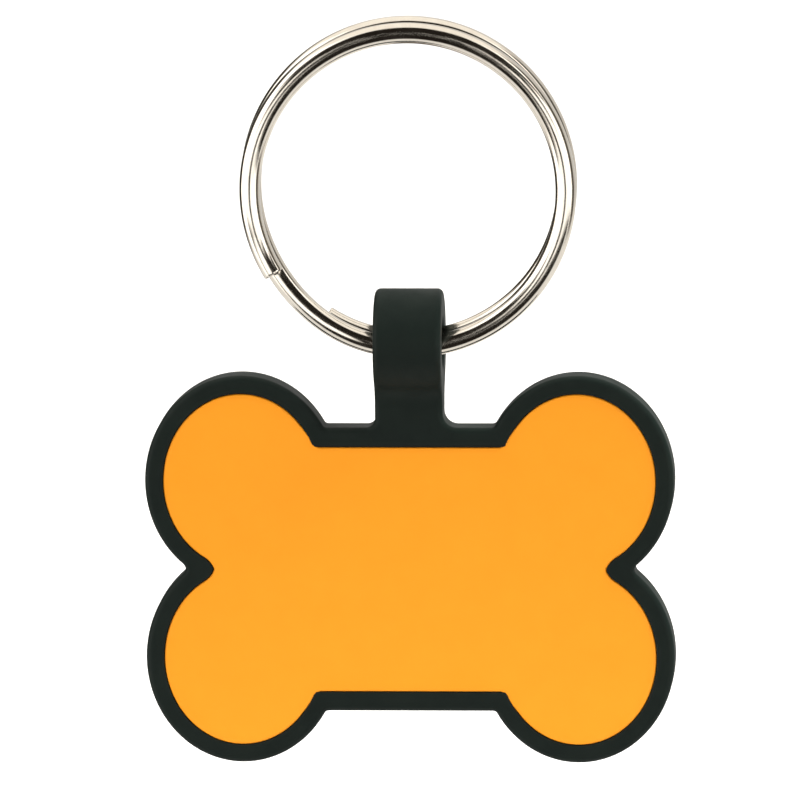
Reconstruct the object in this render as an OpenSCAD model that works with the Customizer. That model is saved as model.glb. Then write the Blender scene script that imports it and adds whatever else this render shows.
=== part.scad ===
// Pet id tag: a bone-shaped silicone tag that hangs by its moulded loop on a split ring.
// X runs across the tag, the front looks along -Y and Z is up. The origin is the hang point,
// the top of the ring's inside, where a collar's own ring bears.
// The tag and the ring are each drawn lying flat, front up, and then stood upright.

/* [Bone] */
// Distance between the centres of the left and right lobes
lobe_spacing_x = 24.2; // [22:0.1:28]
// Distance between the centres of the lower and upper lobes
lobe_spacing_z = 12.8; // [11:0.1:13.2]
// Width of one lobe
lobe_w = 13.9; // [12:0.1:17]
// Height of one lobe
lobe_h = 15.3; // [14:0.1:18]
// Height of the straight waist between the lobes
waist_h = 20.6; // [14:0.1:24]
// Distance between the bottoms of the two side notches
notch_spacing = 32.3; // [28:0.1:34]
// Thickness of the tag
tag_t = 3; // [2.4:0.1:5]
// Radius that rounds the outer edges of the rim
rim_edge_r = 0.4; // [0.1:0.05:0.9]

/* [Rim and faces] */
// Width of the black rim round each face
rim_w = 1.3; // [0.7:0.05:2.5]
// Width of the rim along the waist
waist_rim_w = 1.4; // [0.7:0.05:2.5]
// Width of the rim at the bottom of a side notch
notch_rim_w = 2.05; // [1:0.05:4]
// Thickness of each coloured face
face_t = 0.8; // [0.3:0.05:0.95]
// Depth of each face below the rim
face_recess = 0.1; // [0:0.05:0.2]
// Clearance between the edge of a face and the rim
face_clearance = 0.03; // [0:0.01:0.1]

/* [Loop] */
// Width of the loop across the tag
loop_w = 4.9; // [3:0.1:8]
// Outer diameter of the loop's eye
eye_d = 7.7; // [6.2:0.1:9]
// Diameter of the loop's bore
bore_d = 3.6; // [3.4:0.1:4.4]
// Height of the bore's axis above the middle of the bone
bore_rise = 16.35; // [15:0.05:19]
// Distance from the bore's axis down to where the neck turns flat
neck_drop = 4.8; // [3.8:0.1:6]
// Radius that rounds the ends of the eye
eye_edge_r = 0.45; // [0.1:0.05:1]
// Radius of the flare where the loop's left side meets the waist
left_flare_r = 0.65; // [0.3:0.05:2]
// Radius of the flare where the loop's right side meets the waist
right_flare_r = 1; // [0.3:0.05:2]

/* [Split ring] */
// Outer diameter of the split ring
ring_d = 24.2; // [20:0.1:32]
// Width of the wire, measured along the ring's radius
wire_w = 1.5; // [1.1:0.05:1.8]
// Thickness of the wire, measured along the ring's axis
wire_t = 1.1; // [0.8:0.05:1.3]
// Gap between the two turns of wire
turn_gap = 0.42; // [0.41:0.01:0.5]
// How much higher the back turn lies than the front one
turn_offset = 0.34; // [0:0.02:0.36]
// Radius that rounds the edges of the wire
wire_edge_r = 0.3; // [0.1:0.05:0.35]
// Angle of the front end of the wire, counterclockwise from the right
front_end_angle = 212; // [190:1:225]
// Angle over which the wire crosses from the back turn to the front one
crossing_angle = 26; // [20:1:34]

/* [Hidden] */
$fn = 96;

black = [0.13, 0.15, 0.145];
orange = [1, 0.66, 0.18];
nickel = [0.80, 0.78, 0.73];

// How far a cut runs past the solid that it cuts
overrun = 1;

// Places along Z, from the hang point down; the ring's centre is that of its front turn
ring_inner_r = ring_d / 2 - wire_w;
ring_mean_r = ring_d / 2 - wire_w / 2;
ring_centre_z = -ring_inner_r;
// How far the ring's inside rises between the middle and the ends of the loop
ring_sag = ring_inner_r - sqrt(pow(ring_inner_r, 2) - pow(loop_w / 2, 2));
bore_z = ring_centre_z - ring_mean_r + (ring_sag + turn_offset) / 2;
tag_z = bore_z - bore_rise;

// The neck's two hollow sides are arcs that touch the eye and run out flat on the tag
neck_r = (pow(neck_drop, 2) + pow(tag_t / 2, 2) - pow(eye_d / 2, 2)) / (eye_d - tag_t);
neck_top_share = eye_d / 2 / (eye_d / 2 + neck_r);
neck_top_half_t = (tag_t / 2 + neck_r) * neck_top_share;
neck_top_drop = neck_drop * neck_top_share;

// The wire's two turns
turn_pitch = wire_t + turn_gap;
back_end_angle = front_end_angle + crossing_angle;
crossing_start_angle = front_end_angle + 360;
turn_angle = 360 - crossing_angle;
turn_steps = 56;
crossing_steps = 10;
wire_corner_steps = 2;
// How far from one full turn apart two sections may be when the gap between turns is measured
near_angle = 10;

// Stands a flat drawing upright: its top becomes the front, its +Y becomes up
module upright(z) {
    translate([0, 0, z]) rotate([90, 0, 0]) children();
}

// Right half of a plate's section, with both outer corners rounded, for turning
module rounded_half_section(r, t, edge_r) {
    translate([0, -t / 2]) square([r - edge_r, t]);
    translate([0, edge_r - t / 2]) square([r, t - 2 * edge_r]);
    for (side = [-1, 1]) translate([r - edge_r, side * (t / 2 - edge_r)]) circle(r = edge_r);
}

// Whole section of a plate, with all four corners rounded
module rounded_section(w, t, edge_r) {
    for (side = [0, 1]) mirror([side, 0]) rounded_half_section(w / 2, t, edge_r);
}

// Outline of a bone, drawn in from the tag's edge by its own inset at the lobes, waist and notches
module bone_outline(inset, waist_inset, notch_inset) {
    for (x = [-1, 1], y = [-1, 1])
        translate([x * lobe_spacing_x / 2, y * lobe_spacing_z / 2])
            scale([lobe_w / 2 - inset, lobe_h / 2 - inset]) circle(r = 1);
    square([lobe_spacing_x, waist_h - 2 * waist_inset], center = true);
    square([notch_spacing - 2 * notch_inset, lobe_spacing_z], center = true);
}

// Elliptical disc with a rounded edge
module lobe() {
    scale([lobe_w / lobe_h, 1, 1]) rotate_extrude() rounded_half_section(lobe_h / 2, tag_t, rim_edge_r);
}

// Solid bone with rounded edges
module bone() {
    for (x = [-1, 1], y = [-1, 1])
        translate([x * lobe_spacing_x / 2, y * lobe_spacing_z / 2, 0]) lobe();
    rotate([90, 0, 90]) linear_extrude(lobe_spacing_x, center = true)
        rounded_section(waist_h, tag_t, rim_edge_r);
    rotate([90, 0, 0]) linear_extrude(lobe_spacing_z, center = true)
        rounded_section(notch_spacing, tag_t, rim_edge_r);
}

// Side view of the neck, with the bore's axis at its origin
module neck_section() {
    difference() {
        translate([-neck_drop, -neck_top_half_t])
            square([neck_drop - neck_top_drop, 2 * neck_top_half_t]);
        for (side = [-1, 1]) translate([-neck_drop, side * (tag_t / 2 + neck_r)]) circle(r = neck_r);
    }
    translate([waist_h / 2 - bore_rise - rim_w / 2, -tag_t / 2])
        square([bore_rise - waist_h / 2 + rim_w / 2 - neck_drop, tag_t]);
}

// Loop with its two flares, with the middle of the bone at its origin
module loop() {
    translate([0, bore_rise, 0]) {
        rotate([0, 90, 0]) rotate_extrude() rounded_half_section(eye_d / 2, loop_w, eye_edge_r);
        rotate([0, 0, 90]) rotate([90, 0, 0]) linear_extrude(loop_w, center = true) neck_section();
    }
    flare(-1, left_flare_r);
    flare(1, right_flare_r);
}

// Flare on one side of the loop's foot, hollow towards the waist
module flare(side, r) {
    linear_extrude(tag_t - 2 * rim_edge_r, center = true) difference() {
        translate([side > 0 ? 0 : -loop_w / 2 - r, waist_h / 2 - rim_w / 2])
            square([loop_w / 2 + r, r + rim_w / 2]);
        translate([side * (loop_w / 2 + r), waist_h / 2 + r]) circle(r = r);
    }
}

// One silicone moulding: rim, web and loop, with a pocket for a face on each side
module tag_body() {
    color(black) upright(tag_z) difference() {
        union() {
            bone();
            loop();
        }
        for (side = [0, 1]) mirror([0, 0, side])
            translate([0, 0, tag_t / 2 - face_recess - face_t])
                linear_extrude(face_t + face_recess + overrun) bone_outline(rim_w, waist_rim_w, notch_rim_w);
        translate([0, bore_rise, 0]) rotate([0, 90, 0])
            cylinder(d = bore_d, h = loop_w + 2 * overrun, center = true);
    }
}

// One coloured face, on its pocket's floor
module face(side) {
    color(orange) upright(tag_z) mirror([0, 0, side]) translate([0, 0, tag_t / 2 - face_recess - face_t])
        linear_extrude(face_t)
            bone_outline(rim_w + face_clearance, waist_rim_w + face_clearance, notch_rim_w + face_clearance);
}

module front_face() {
    face(0);
}

module back_face() {
    face(1);
}

// Points round the wire's section: outward from the ring's middle, then forward
function wire_section() = [
    for (corner = [0 : 3], step = [0 : wire_corner_steps])
        let (
            a = 90 * (corner + step / wire_corner_steps),
            out = corner == 0 || corner == 3 ? 1 : -1,
            forward = corner < 2 ? 1 : -1
        )
        [
            out * (wire_w / 2 - wire_edge_r) + wire_edge_r * cos(a),
            forward * (wire_t / 2 - wire_edge_r) + wire_edge_r * sin(a)
        ]
];

// Angles at which the wire has a section, from its back end through both turns to its front end
wire_angles = concat(
    [for (i = [0 : turn_steps - 1]) back_end_angle + turn_angle * i / turn_steps],
    [for (i = [0 : crossing_steps]) crossing_start_angle + crossing_angle * i / crossing_steps],
    [for (i = [1 : turn_steps]) back_end_angle + 360 + turn_angle * i / turn_steps]
);

// How much of the way from the back turn to the front one the wire has come, with a smooth step
function way_across(a) =
    let (share = min(1, max(0, (a - crossing_start_angle) / crossing_angle)))
    share * share * (3 - 2 * share);

// How far forward the wire lies: flat along each turn
function wire_forward(a) = turn_pitch * (way_across(a) - 1 / 2);

// How far up the wire lies from where the front turn would have it
function wire_up(a) = turn_offset * (1 - way_across(a));

// The wire's section as points in space, at one of its angles
function wire_points(a) = [
    for (p = wire_section())
        [
            (ring_mean_r + p[0]) * cos(a),
            (ring_mean_r + p[0]) * sin(a) + wire_up(a),
            wire_forward(a) + p[1]
        ]
];

// Least distance from the wire to itself, one turn on, measured on its points
function least_gap() = min([
    for (a = wire_angles, b = wire_angles)
        if (abs(b - a - 360) < near_angle)
            for (p = wire_points(a), q = wire_points(b)) norm(p - q)
]);

// One wire wound a little under two turns, swept through its sections
module split_ring() {
    count = len(wire_section());
    last = (len(wire_angles) - 1) * count;
    sides = [
        for (i = [0 : len(wire_angles) - 2], j = [0 : count - 1])
            let (
                a = i * count + j,
                b = i * count + (j + 1) % count
            )
            each [[a, b, b + count], [a, b + count, a + count]]
    ];
    back_end = [for (j = [1 : count - 2]) [0, j + 1, j]];
    front_end = [for (j = [1 : count - 2]) [last, last + j, last + j + 1]];
    color(nickel) upright(ring_centre_z)
        polyhedron([for (a = wire_angles) each wire_points(a)], concat(sides, back_end, front_end));
}

echo(str("Least gap between the turns of the split ring: ", least_gap(), " mm"));

tag_body();
front_face();
back_face();
split_ring();
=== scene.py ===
"""Looks of the pet id tag: a bone-shaped silicone tag that hangs by its moulded loop on a split ring.

Shapes are worked out in millimetres and turned into metres when a mesh is made. X runs across the tag,
the front looks along -Y and Z is up. The tag's own coordinates start at the middle of the bone. The
stage round the object is given in metres.
"""

import math

import bpy
import numpy as np
from mathutils import Matrix, Vector


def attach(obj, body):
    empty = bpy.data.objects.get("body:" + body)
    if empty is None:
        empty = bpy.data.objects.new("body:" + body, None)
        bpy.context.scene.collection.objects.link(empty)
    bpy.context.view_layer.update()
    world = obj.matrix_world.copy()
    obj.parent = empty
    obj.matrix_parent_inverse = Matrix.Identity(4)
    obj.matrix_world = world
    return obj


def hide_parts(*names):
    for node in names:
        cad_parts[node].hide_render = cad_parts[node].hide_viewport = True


MM = 0.001
TINY = 1e-9

# Places along Z, down from the hang point
BONE_Z = -37.987
RING_Z = -10.6

# Bone
LOBE_X, LOBE_Z = 12.1, 6.4
LOBE_RX, LOBE_RZ = 6.95, 7.65
WAIST_HALF = 10.3
WAIST_FILLET_R = 0.15
NOTCH_HALF = 16.15
CREASE_R = 0.22
TAG_HALF_T = 1.5
EDGE_R = 0.42

# Rim, pockets and faces
RIM_W = 1.3
WAIST_RIM_W = 1.4
FACE_NOTCH_HALF = 14.1
FACE_CREASE_R = 0.7
POCKET_Y = 0.6
POCKET_EDGE_R = 0.1
FACE_Y = 1.4
FACE_GAP = 0.03
FACE_EDGE_R = 0.12

# Loop
LOOP_HALF_W = 2.45
EYE_R = 3.85
EYE_Z = 16.35
BORE_R = 1.8
BORE_EDGE_R = 0.25
NECK_DROP = 4.8
NECK_FOOT = EYE_Z - NECK_DROP
NECK_R = (NECK_DROP ** 2 + TAG_HALF_T ** 2 - EYE_R ** 2) / (2 * (EYE_R - TAG_HALF_T))
LOOP_EDGE_R = 0.42
LEFT_FLARE_R, RIGHT_FLARE_R = 0.65, 1.0
LOOP_TOP = 11.55
LOOP_FOOT = 9.65

# Split ring
RING_MEAN_R = 11.35
WIRE_W = 1.5
WIRE_T = 1.27
WIRE_SQUARENESS = 2.1
WIRE_END_R = 0.12
TURN_PITCH = 1.35
TURN_OFFSET = 0.34  # The back turn lies this much higher than the front one

# Angles along the wire from its back end to its front one, in degrees from +X towards +Z
BACK_END = 238
CROSSING_START, CROSSING_SPAN = 556, 60
FRONT_END = 932

# How fine the meshes are
NET_CELL = 0.16
NET_MARGIN = 0.37
NET_MOVES = 4
FACE_COUNT = 900
FACE_EDGE_COUNT = 6
FACE_SHARES = (0.97, 0.9, 0.75, 0.5, 0.25)  # Rings inside the rounded edge, as shares of the outline
WIRE_STATIONS = 900
WIRE_SECTION_COUNT = 40
WIRE_END_STEPS = ((0, 1), (0.3, 0.3), (1, 0))  # Shares of a softened end's length and of its depth

# Colours, each with the shade that it mottles to
BLACK, BLACK_SHADE = (0.008, 0.0134, 0.011), (0.0062, 0.011, 0.0092)
ORANGE, ORANGE_SHADE = (0.97, 0.342, 0.0155), (0.96, 0.333, 0.014)
NICKEL, NICKEL_SHADE = (0.72, 0.68, 0.61), (0.66, 0.61, 0.54)


# Distances to flat and solid forms, below zero inside

def ellipse(x, z, rx, rz):
    """Near enough the distance to an ellipse at the origin."""
    whole = np.maximum(np.hypot(x / rx, z / rz), TINY)
    slope = np.maximum(np.hypot(x / rx ** 2, z / rz ** 2), TINY / max(rx, rz))
    return whole * (whole - 1) / slope


def rectangle(x, z, half_x, half_z):
    """Distance to a rectangle at the origin."""
    dx, dz = np.abs(x) - half_x, np.abs(z) - half_z
    return np.minimum(np.maximum(dx, dz), 0) + np.hypot(np.maximum(dx, 0), np.maximum(dz, 0))


def join(a, b, r):
    """Union of two forms, with a fillet of radius r where they meet."""
    return np.maximum(r, np.minimum(a, b)) - np.hypot(np.maximum(r - a, 0), np.maximum(r - b, 0))


def meet(a, b, r):
    """Intersection of two forms, with its edge rounded to radius r."""
    return np.minimum(-r, np.maximum(a, b)) + np.hypot(np.maximum(r + a, 0), np.maximum(r + b, 0))


def bone_outline(x, z, inset, waist_half, notch_half, crease_r):
    """Distance to the bone's outline, with its lobes drawn in by an inset."""
    x, z = np.abs(x), np.abs(z)
    lobe = ellipse(x - LOBE_X, z - LOBE_Z, LOBE_RX - inset, LOBE_RZ - inset)
    waist = rectangle(x, z, LOBE_X, waist_half)
    middle = rectangle(x, z, notch_half, LOBE_Z)
    return join(join(lobe, waist, WAIST_FILLET_R), middle, crease_r)


def face_outline(x, z, gap=0.0):
    """Distance to the outline of a face's pocket, drawn in all round by a gap."""
    waist_half = WAIST_HALF - WAIST_RIM_W - gap
    return bone_outline(x, z, RIM_W + gap, waist_half, FACE_NOTCH_HALF - gap, FACE_CREASE_R)


def loop_side(y, z):
    """Distance to the loop's side view: a round eye on a neck whose hollow arcs run out flat on the tag."""
    hollow_y = TAG_HALF_T + NECK_R
    eye = np.hypot(y, z - EYE_Z) - EYE_R
    hollow = NECK_R - np.hypot(y - hollow_y, z - NECK_FOOT)
    above_neck = (z - NECK_FOOT) * hollow_y > (hollow_y - y) * (EYE_Z - NECK_FOOT)
    return np.where(above_neck, eye, np.where(z < NECK_FOOT, y - TAG_HALF_T, hollow))


def body_field(x, y, z):
    """Distance to the silicone moulding: rim, web and loop, with its two pockets and its bore."""
    y = np.abs(y)
    bone = bone_outline(x, z, 0, WAIST_HALF, NOTCH_HALF, CREASE_R)
    foot = rectangle(x, z - LOOP_FOOT, LOOP_HALF_W, LOOP_TOP - LOOP_FOOT)
    flare_r = np.where(x < 0, LEFT_FLARE_R, RIGHT_FLARE_R)
    plate = meet(join(bone, foot, flare_r), y - TAG_HALF_T, EDGE_R)
    loop = meet(np.abs(x) - LOOP_HALF_W, np.maximum(loop_side(y, z), LOOP_FOOT - z), LOOP_EDGE_R)
    solid = np.minimum(plate, loop)
    pocket = np.maximum(face_outline(x, z), POCKET_Y - y)
    solid = meet(solid, -pocket, POCKET_EDGE_R)
    bore = np.hypot(y, z - EYE_Z) - BORE_R
    return meet(solid, -bore, BORE_EDGE_R)


# Meshes

def make_object(name, points, faces, body, node):
    """A smooth piece from points in millimetres, riding on its body in place of its CAD node."""
    mesh = bpy.data.meshes.new(name)
    mesh.from_pydata((np.asarray(points) * MM).tolist(), [], [list(map(int, f)) for f in faces])
    mesh.polygons.foreach_set("use_smooth", [True] * len(mesh.polygons))
    mesh.validate()
    mesh.update()
    piece = bpy.data.objects.new(name, mesh)
    bpy.context.scene.collection.objects.link(piece)
    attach(piece, body)
    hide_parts(node)
    return piece


def corner_slices(shape, offset):
    """The part of a grid array that holds one corner of every cell."""
    return tuple(slice(o, n - 1 + o) for o, n in zip(offset, shape))


def net_points(values, low, cell, mixed):
    """One point in each mixed cell: the mean of where the level crosses the cell's edges."""
    total = np.zeros(mixed.shape + (3,))
    count = np.zeros(mixed.shape)
    for axis in range(3):
        others = [k for k in range(3) if k != axis]
        for a in (0, 1):
            for b in (0, 1):
                start = [0, 0, 0]
                start[others[0]], start[others[1]] = a, b
                end = list(start)
                end[axis] = 1
                v0 = values[corner_slices(values.shape, start)]
                v1 = values[corner_slices(values.shape, end)]
                crosses = (v0 < 0) != (v1 < 0)
                share = np.where(crosses, v0 / np.where(crosses, v0 - v1, 1), 0)
                for k in range(3):
                    total[..., k] += np.where(crosses, share if k == axis else start[k], 0)
                count += crosses
    cells = np.argwhere(mixed)
    return low + cell * (cells + total[mixed] / count[mixed][:, None])


def net_quads(inside, ids):
    """One quad round each grid edge that the level crosses, facing outward."""
    quads = []
    for axis in range(3):
        order = (axis, (axis + 1) % 3, (axis + 2) % 3)
        solid = np.transpose(inside, order)
        cells = np.transpose(ids, order)
        here, there = solid[:-1, 1:-1, 1:-1], solid[1:, 1:-1, 1:-1]
        for crossing, step in ((here & ~there, 1), (~here & there, -1)):
            i, j, k = np.nonzero(crossing)
            ring = [cells[i, j, k], cells[i, j + 1, k], cells[i, j + 1, k + 1], cells[i, j, k + 1]]
            quads.append(np.stack(ring[::step], 1))
    return np.concatenate(quads)


def field_slope(field, points, reach=0.01):
    """Gradient of a field at some points."""
    slope = np.zeros_like(points)
    for k in range(3):
        step = np.zeros(3)
        step[k] = reach
        slope[:, k] = (field(*(points + step).T) - field(*(points - step).T)) / (2 * reach)
    return slope


def surface_net(field, low, high, cell):
    """Points and quads of a field's zero level, with the points moved onto it in a few short moves."""
    low = np.asarray(low, float)
    counts = np.ceil((np.asarray(high) - low) / cell).astype(int) + 1
    axes = [low[k] + cell * np.arange(counts[k]) for k in range(3)]
    values = field(*np.meshgrid(*axes, indexing="ij"))
    inside = values < 0
    corners = sum(
        inside[corner_slices(inside.shape, (a, b, c))].astype(int)
        for a in (0, 1) for b in (0, 1) for c in (0, 1)
    )
    mixed = (corners > 0) & (corners < 8)
    ids = np.full(mixed.shape, -1)
    ids[mixed] = np.arange(np.count_nonzero(mixed))
    points = net_points(values, low, cell, mixed)
    least_steepness, longest_move = 0.1, cell / 2
    for _ in range(NET_MOVES):
        slope = field_slope(field, points)
        steepness = np.maximum((slope ** 2).sum(1), least_steepness)
        move = np.clip(field(*points.T) / steepness, -longest_move, longest_move)
        points -= slope * move[:, None]
    return points, net_quads(inside, ids)


def make_body():
    """The black silicone moulding. Its shading follows the field and not the mesh's cells."""
    half_w, half_h = LOBE_X + LOBE_RX + NET_MARGIN, LOBE_Z + LOBE_RZ + NET_MARGIN
    low = (-half_w, -EYE_R - NET_MARGIN, -half_h)
    high = (half_w, EYE_R + NET_MARGIN, EYE_Z + EYE_R + NET_MARGIN)
    points, quads = surface_net(body_field, low, high, NET_CELL)
    slope = field_slope(body_field, points, reach=0.02)
    points[:, 2] += BONE_Z
    piece = make_object("silicone_body", points, quads, "tag", "tag_body")
    least_length = 1e-6
    normals = slope / np.maximum(np.linalg.norm(slope, axis=1), least_length)[:, None]
    piece.data.normals_split_custom_set_from_vertices(normals.tolist())
    return piece


def face_points(count):
    """Points round a face's outline, found by halving along rays from its middle."""
    inside_r, outside_r, halvings = 5.0, 25.0, 40
    angles = 2 * math.pi * np.arange(count) / count
    across, up = np.cos(angles), np.sin(angles)
    near, far = np.full(count, inside_r), np.full(count, outside_r)
    for _ in range(halvings):
        middle = (near + far) / 2
        outside = face_outline(across * middle, up * middle, FACE_GAP) > 0
        near, far = np.where(outside, near, middle), np.where(outside, middle, far)
    return np.stack([across * near, up * near], 1)


def drawn_in(outline, distance):
    """The outline moved inward by a distance, square to itself."""
    along = np.roll(outline, -1, 0) - np.roll(outline, 1, 0)
    inward = np.stack([-along[:, 1], along[:, 0]], 1)
    return outline + distance * inward / np.linalg.norm(inward, axis=1)[:, None]


def loft(rings):
    """Points and quads through closed rings of equal length, with a fan of triangles across each end."""
    count = len(rings[0])
    points = np.concatenate(rings + [rings[-1].mean(0)[None], rings[0].mean(0)[None]])
    last_middle, first_middle = len(rings) * count, len(rings) * count + 1
    faces = []
    for i in range(len(rings) - 1):
        for j in range(count):
            k = (j + 1) % count
            faces.append((i * count + j, i * count + k, (i + 1) * count + k, (i + 1) * count + j))
    last = (len(rings) - 1) * count
    for j in range(count):
        k = (j + 1) % count
        faces.append((last + j, last + k, last_middle))
        faces.append((k, j, first_middle))
    return points, faces


def make_face(name, node, side):
    """One orange face, from the pocket's floor to just under the rim. Side is -1 in front, 1 behind."""
    outline = face_points(FACE_COUNT)
    rings = []

    def ring_at(flat, depth):
        rings.append(np.stack([flat[:, 0], np.full(len(flat), side * depth), flat[:, 1] + BONE_Z], 1))

    ring_at(outline, POCKET_Y)
    for a in np.radians(np.linspace(0, 90, FACE_EDGE_COUNT)):
        edge = drawn_in(outline, FACE_EDGE_R * (1 - math.cos(a)))
        ring_at(edge, FACE_Y - FACE_EDGE_R * (1 - math.sin(a)))
    top = drawn_in(outline, FACE_EDGE_R)
    for share in FACE_SHARES:
        ring_at(top * share, FACE_Y)
    points, faces = loft(rings)
    if side > 0:
        faces = [f[::-1] for f in faces]
    return make_object(name, points, faces, "tag", node)


def way_across(angle):
    """How much of the way from the back turn to the front one the wire has come at an angle.

    The wire's two ends lie on the slope, so the front end stands a little proud and the back end a
    little behind, and the two turns stay one pitch apart all round.
    """
    def slope(at):
        share = min(1, max(0, (at - CROSSING_START) / CROSSING_SPAN))
        return share * share * (3 - 2 * share)
    return slope(angle - 360) + slope(angle) + slope(angle + 360) - 1


def wire_section(count, shrink):
    """Points round the wire's section, a crowned oblong: outward from the ring's middle, then forward."""
    power = 2 / WIRE_SQUARENESS
    points = []
    for i in range(count):
        a = 2 * math.pi * (i + 0.5) / count
        out = math.copysign(abs(math.cos(a)) ** power, math.cos(a))
        forward = math.copysign(abs(math.sin(a)) ** power, math.sin(a))
        points.append(((WIRE_W / 2 - shrink) * out, (WIRE_T / 2 - shrink) * forward))
    return points


def wire_stations():
    """Angles along the wire, each with how far the section is drawn in there to soften the ends."""
    end_turn = math.degrees(WIRE_END_R / RING_MEAN_R)
    start = [(BACK_END + way * end_turn, shrink * WIRE_END_R) for way, shrink in WIRE_END_STEPS]
    middle = [(a, 0.0) for a in np.linspace(BACK_END + 1, FRONT_END - 1, WIRE_STATIONS)]
    end = [(FRONT_END - way * end_turn, shrink * WIRE_END_R) for way, shrink in WIRE_END_STEPS[::-1]]
    return start + middle + end


def make_ring():
    """One wire wound a little under two turns, with ends cut square and their edges softened."""
    rings = []
    for angle, shrink in wire_stations():
        a, across = math.radians(angle), way_across(angle)
        forward = TURN_PITCH * (across - 0.5)
        centre_z = RING_Z + TURN_OFFSET * min(1, max(0, 1 - across))
        rings.append(np.array([
            [
                (RING_MEAN_R + out) * math.cos(a),
                -(forward + ahead),
                (RING_MEAN_R + out) * math.sin(a) + centre_z,
            ]
            for out, ahead in wire_section(WIRE_SECTION_COUNT, shrink)
        ]))
    points, faces = loft(rings)
    faces = [f[::-1] for f in faces]
    return make_object("ring_wire", points, faces, "ring", "split_ring")


# Shader nodes

def feed(tree, socket, value):
    """Link a socket into an input, or set a number or a colour on it."""
    if isinstance(value, bpy.types.NodeSocket):
        tree.links.new(value, socket)
    elif isinstance(value, tuple):
        socket.default_value = (*value, 1)
    else:
        socket.default_value = value


def math_node(tree, operation, *values):
    """The result of one operation on sockets or numbers."""
    node = tree.nodes.new("ShaderNodeMath")
    node.operation = operation
    for socket, value in zip(node.inputs, values):
        feed(tree, socket, value)
    return node.outputs["Value"]


def blend(tree, factor, a, b):
    """Colour a where the factor is 0 and colour b where it is 1."""
    node = tree.nodes.new("ShaderNodeMix")
    node.data_type = "RGBA"
    feed(tree, node.inputs["Factor"], factor)
    feed(tree, node.inputs["A"], a)
    feed(tree, node.inputs["B"], b)
    return node.outputs["Result"]


def noise(tree, vector, scale, detail):
    """The factor of a noise texture on some coordinates."""
    node = tree.nodes.new("ShaderNodeTexNoise")
    node.inputs["Scale"].default_value = scale
    node.inputs["Detail"].default_value = detail
    node.inputs["Roughness"].default_value = 0.55
    tree.links.new(vector, node.inputs["Vector"])
    return node.outputs["Fac"]


def ramp(tree, factor, low, high):
    """The middle range of a noise factor mapped onto another range."""
    node = tree.nodes.new("ShaderNodeMapRange")
    node.inputs["From Min"].default_value = 0.3
    node.inputs["From Max"].default_value = 0.7
    node.inputs["To Min"].default_value = low
    node.inputs["To Max"].default_value = high
    tree.links.new(factor, node.inputs["Value"])
    return node.outputs["Result"]


def add_bump(tree, shader, height, depth, before=None):
    """Bump from a height of 0 to 1, which stands for a depth in millimetres, on top of an earlier bump."""
    node = tree.nodes.new("ShaderNodeBump")
    node.inputs["Strength"].default_value = 1.0
    node.inputs["Distance"].default_value = depth * MM
    tree.links.new(height, node.inputs["Height"])
    if before is not None:
        tree.links.new(before, node.inputs["Normal"])
    tree.links.new(node.outputs["Normal"], shader.inputs["Normal"])
    return node.outputs["Normal"]


# Materials

def new_material(name):
    """A material with its node tree and its principled shader."""
    material = bpy.data.materials.new(name)
    material.use_nodes = True
    return material, material.node_tree, material.node_tree.nodes["Principled BSDF"]


def silicone(name, colour, shade, rough_low, rough_high, specular):
    """Matte moulded silicone: fine grain, soft mottling and a slightly uneven sheen."""
    material, tree, shader = new_material(name)
    place = tree.nodes.new("ShaderNodeTexCoord").outputs["Object"]
    mottle = noise(tree, place, scale=450, detail=4)
    grain = noise(tree, place, scale=5200, detail=2)
    tree.links.new(blend(tree, ramp(tree, mottle, 0, 1), colour, shade), shader.inputs["Base Color"])
    tree.links.new(ramp(tree, mottle, rough_low, rough_high), shader.inputs["Roughness"])
    shader.inputs["Specular IOR Level"].default_value = specular
    shader.inputs["IOR"].default_value = 1.41
    swell = add_bump(tree, shader, mottle, depth=0.006)
    add_bump(tree, shader, grain, depth=0.004, before=swell)
    return material


def drawn_lines(tree, place):
    """Noise that is fine across the wire and long along it, laid out by radius, depth and angle."""
    across_scale, along_scale = 9000, 7
    split = tree.nodes.new("ShaderNodeSeparateXYZ")
    tree.links.new(place, split.inputs["Vector"])
    across, depth = split.outputs["X"], split.outputs["Y"]
    up = math_node(tree, "SUBTRACT", split.outputs["Z"], RING_Z * MM)
    across_squared = math_node(tree, "MULTIPLY", across, across)
    up_squared = math_node(tree, "MULTIPLY", up, up)
    radius = math_node(tree, "SQRT", math_node(tree, "ADD", across_squared, up_squared))
    cosine = math_node(tree, "DIVIDE", across, radius)
    sine = math_node(tree, "DIVIDE", up, radius)

    joined = tree.nodes.new("ShaderNodeCombineXYZ")
    tree.links.new(math_node(tree, "MULTIPLY", radius, across_scale), joined.inputs["X"])
    tree.links.new(math_node(tree, "MULTIPLY", depth, across_scale), joined.inputs["Y"])
    tree.links.new(math_node(tree, "MULTIPLY", cosine, along_scale), joined.inputs["Z"])
    lines = tree.nodes.new("ShaderNodeTexNoise")
    lines.noise_dimensions = "4D"
    lines.inputs["Scale"].default_value = 1.0
    lines.inputs["Detail"].default_value = 3.0
    tree.links.new(joined.outputs["Vector"], lines.inputs["Vector"])
    tree.links.new(math_node(tree, "MULTIPLY", sine, along_scale), lines.inputs["W"])
    return lines.outputs["Fac"]


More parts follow.
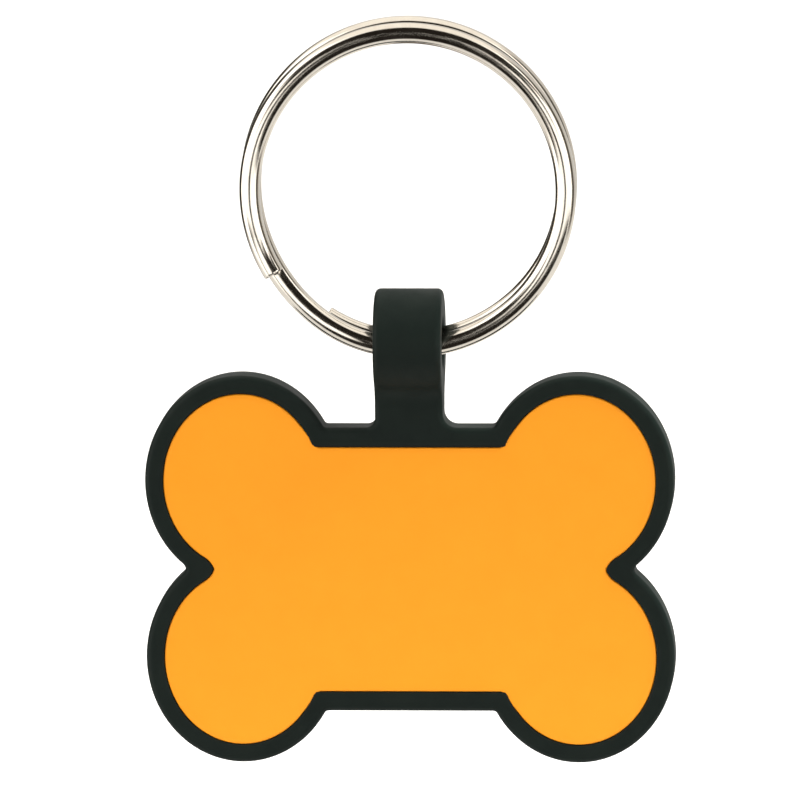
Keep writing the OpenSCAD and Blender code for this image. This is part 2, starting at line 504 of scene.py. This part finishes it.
def nickel():
    """Polished nickel plate: fine drawn lines along the wire, with a faint warm tarnish."""
    material, tree, shader = new_material("nickel")
    place = tree.nodes.new("ShaderNodeTexCoord").outputs["Object"]
    lines = drawn_lines(tree, place)
    cloud = noise(tree, place, scale=700, detail=3)
    tarnish = blend(tree, ramp(tree, cloud, 0, 1), NICKEL, NICKEL_SHADE)
    tree.links.new(tarnish, shader.inputs["Base Color"])
    shader.inputs["Metallic"].default_value = 1.0
    tree.links.new(ramp(tree, lines, 0.08, 0.2), shader.inputs["Roughness"])
    swell = add_bump(tree, shader, cloud, depth=0.004)
    add_bump(tree, shader, lines, depth=0.0012, before=swell)
    return material


# Stage: floor, light, world and camera

def make_floor():
    """A plain pale floor under the tag, which the wire doesn't mirror."""
    floor_z, front, back, half_w = -0.082, -0.06, 1.6, 1.2
    corners = [(-half_w, front), (half_w, front), (half_w, back), (-half_w, back)]
    mesh = bpy.data.meshes.new("floor")
    mesh.from_pydata([(x, y, floor_z) for x, y in corners], [], [(0, 1, 2, 3)])
    floor = bpy.data.objects.new("floor", mesh)
    bpy.context.scene.collection.objects.link(floor)
    material, _, shader = new_material("pale_floor")
    shader.inputs["Base Color"].default_value = (0.95, 0.95, 0.95, 1)
    shader.inputs["Roughness"].default_value = 0.9
    shader.inputs["Specular IOR Level"].default_value = 0.1
    mesh.materials.append(material)
    floor.visible_glossy = False


def way_out(azimuth, elevation):
    """The direction from the object to a place round it. Azimuth 0 is in front, 90 on the right."""
    a, e = math.radians(azimuth), math.radians(elevation)
    return Vector((math.sin(a) * math.cos(e), -math.cos(a) * math.cos(e), math.sin(e)))


def make_key_light():
    """A soft square light from the upper right, which neither the camera nor the wire sees."""
    target, distance, size, power = Vector((0, 0, -0.026)), 0.7, 0.3, 8.5
    back = way_out(95, 50)
    data = bpy.data.lights.new("key", "AREA")
    data.size = size
    data.energy = power
    light = bpy.data.objects.new("key", data)
    light.location = target + back * distance
    light.rotation_mode = "QUATERNION"
    light.rotation_quaternion = (-back).to_track_quat("-Z", "Y")
    light.visible_camera = False
    light.visible_glossy = False
    bpy.context.scene.collection.objects.link(light)


def grey(level, warmth=0.06):
    """A level of light with a touch of warmth, which takes most from blue and some from green."""
    green_share = 0.4
    return (level, level * (1 - warmth * green_share), level * (1 - warmth))


def studio_colour(tree):
    """The studio's light by direction: soft boxes, dim gaps between them, and a dark cone in front.

    Bearing is 0 in front, -90 on the left and 90 on the right. Turn is the same to either side of a
    middle 4 degrees to the left. Rise is 0 level and 90 overhead. Off axis is counted from the cone's
    axis, a little right of the front.
    """
    cone_axis = (0.05, -0.9985, 0.02)
    way = tree.nodes.new("ShaderNodeTexCoord").outputs["Generated"]
    split = tree.nodes.new("ShaderNodeSeparateXYZ")
    tree.links.new(way, split.inputs["Vector"])
    ahead = math_node(tree, "MULTIPLY", split.outputs["Y"], -1)
    bearing = math_node(tree, "ARCTAN2", split.outputs["X"], ahead)
    turn = math_node(tree, "ABSOLUTE", math_node(tree, "ADD", bearing, math.radians(4)))
    rise = math_node(tree, "ARCSINE", split.outputs["Z"])
    toward = tree.nodes.new("ShaderNodeVectorMath")
    toward.operation = "DOT_PRODUCT"
    tree.links.new(way, toward.inputs[0])
    toward.inputs[1].default_value = cone_axis
    off_axis = math_node(tree, "ARCCOSINE", toward.outputs["Value"])

    def parted(angle, edge, soft, below, above):
        """One colour below an edge and another above it, in degrees, with a soft change between them."""
        node = tree.nodes.new("ShaderNodeMapRange")
        node.interpolation_type = "SMOOTHSTEP"
        node.inputs["From Min"].default_value = math.radians(edge - soft / 2)
        node.inputs["From Max"].default_value = math.radians(edge + soft / 2)
        tree.links.new(angle, node.inputs["Value"])
        return blend(tree, node.outputs["Result"], below, above)

    dark, brown = (0.016, 0.013, 0.01), (0.09, 0.07, 0.05)
    dim_left, dim_right = grey(0.05, 0.25), grey(0.12, 0.25)
    left_box, front_box, back_wall = grey(2.5), grey(2.0), grey(0.8)
    left_ceiling, ceiling = grey(1.3, 0.12), grey(1.35, 0.12)
    low_box, straight_down = grey(1.1), grey(1.0)

    # Level with the object, on the left, on the right and behind
    low_behind = parted(bearing, -155, 20, brown, low_box)
    behind = parted(rise, -12, 10, low_behind, back_wall)
    left = parted(bearing, -160, 14, behind, dim_left)
    left = parted(rise, 38, 12, left, left_ceiling)
    left = parted(bearing, -92, 12, left, left_box)
    right = parted(bearing, 95, 12, dim_right, behind)
    sides = parted(bearing, 60, 10, left, right)

    # The band across the front: a box with a narrow dark gap, and a wide dark gap just above it
    front = parted(turn, 39, 10, front_box, sides)
    low_band = parted(turn, 6, 6, dark, front)
    high_band = parted(turn, 32, 10, dark, sides)
    band = parted(rise, 5, 6, low_band, high_band)

    # Below and above the band: the dark cone, and what lies round it
    below = parted(turn, 110, 20, low_box, low_behind)
    below = parted(rise, -70, 10, straight_down, below)
    around = parted(rise, -22, 12, below, sides)
    around = parted(rise, 50, 12, around, ceiling)
    cone = parted(off_axis, 55, 8, dark, around)
    colour = parted(rise, 20, 8, band, cone)
    return parted(rise, -13, 6, cone, colour)


def make_world():
    """A world that is plain white where the camera looks and a soft studio for all other light."""
    world = bpy.data.worlds.new("studio")
    bpy.context.scene.world = world
    world.use_nodes = True
    tree = world.node_tree
    tree.nodes.clear()
    studio = tree.nodes.new("ShaderNodeBackground")
    tree.links.new(studio_colour(tree), studio.inputs["Color"])
    white = tree.nodes.new("ShaderNodeBackground")
    white.inputs["Color"].default_value = (1, 1, 1, 1)
    white.inputs["Strength"].default_value = 1.05
    seen = tree.nodes.new("ShaderNodeLightPath").outputs["Is Camera Ray"]
    either = tree.nodes.new("ShaderNodeMixShader")
    tree.links.new(seen, either.inputs["Fac"])
    tree.links.new(studio.outputs["Background"], either.inputs[1])
    tree.links.new(white.outputs["Background"], either.inputs[2])
    output = tree.nodes.new("ShaderNodeOutputWorld")
    tree.links.new(either.outputs["Shader"], output.inputs["Surface"])


def make_camera():
    """A long lens at the photograph's angle."""
    azimuth, elevation, roll = 3.5, 7.8, -0.4
    target, distance, width = Vector((-0.0007, 0, -0.02586)), 1.0, 0.0575
    back = way_out(azimuth, elevation)
    data = bpy.data.cameras.new("camera")
    data.sensor_width = 36
    data.lens = data.sensor_width * distance / width
    data.clip_start, data.clip_end = 0.01, 10
    camera = bpy.data.objects.new("camera", data)
    upright = (-back).to_track_quat("-Z", "Y").to_matrix().to_4x4()
    turned = upright @ Matrix.Rotation(math.radians(roll), 4, "Z")
    camera.matrix_world = Matrix.Translation(target + back * distance) @ turned
    bpy.context.scene.collection.objects.link(camera)
    bpy.context.scene.camera = camera


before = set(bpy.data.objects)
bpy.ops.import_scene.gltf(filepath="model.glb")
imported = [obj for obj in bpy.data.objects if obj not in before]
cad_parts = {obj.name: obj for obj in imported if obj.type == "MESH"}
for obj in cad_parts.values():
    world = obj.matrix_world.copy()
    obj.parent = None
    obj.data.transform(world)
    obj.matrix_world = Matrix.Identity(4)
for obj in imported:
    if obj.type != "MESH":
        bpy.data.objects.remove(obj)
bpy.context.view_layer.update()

black = silicone("black_silicone", BLACK, BLACK_SHADE, rough_low=0.5, rough_high=0.62, specular=0.18)
orange = silicone("orange_silicone", ORANGE, ORANGE_SHADE, rough_low=0.5, rough_high=0.6, specular=0.25)
make_body().data.materials.append(black)
make_face("orange_front", "front_face", -1).data.materials.append(orange)
make_face("orange_back", "back_face", 1).data.materials.append(orange)
make_ring().data.materials.append(nickel())

make_floor()
make_world()
make_key_light()
make_camera()
bpy.context.scene.view_settings.view_transform = "Standard"
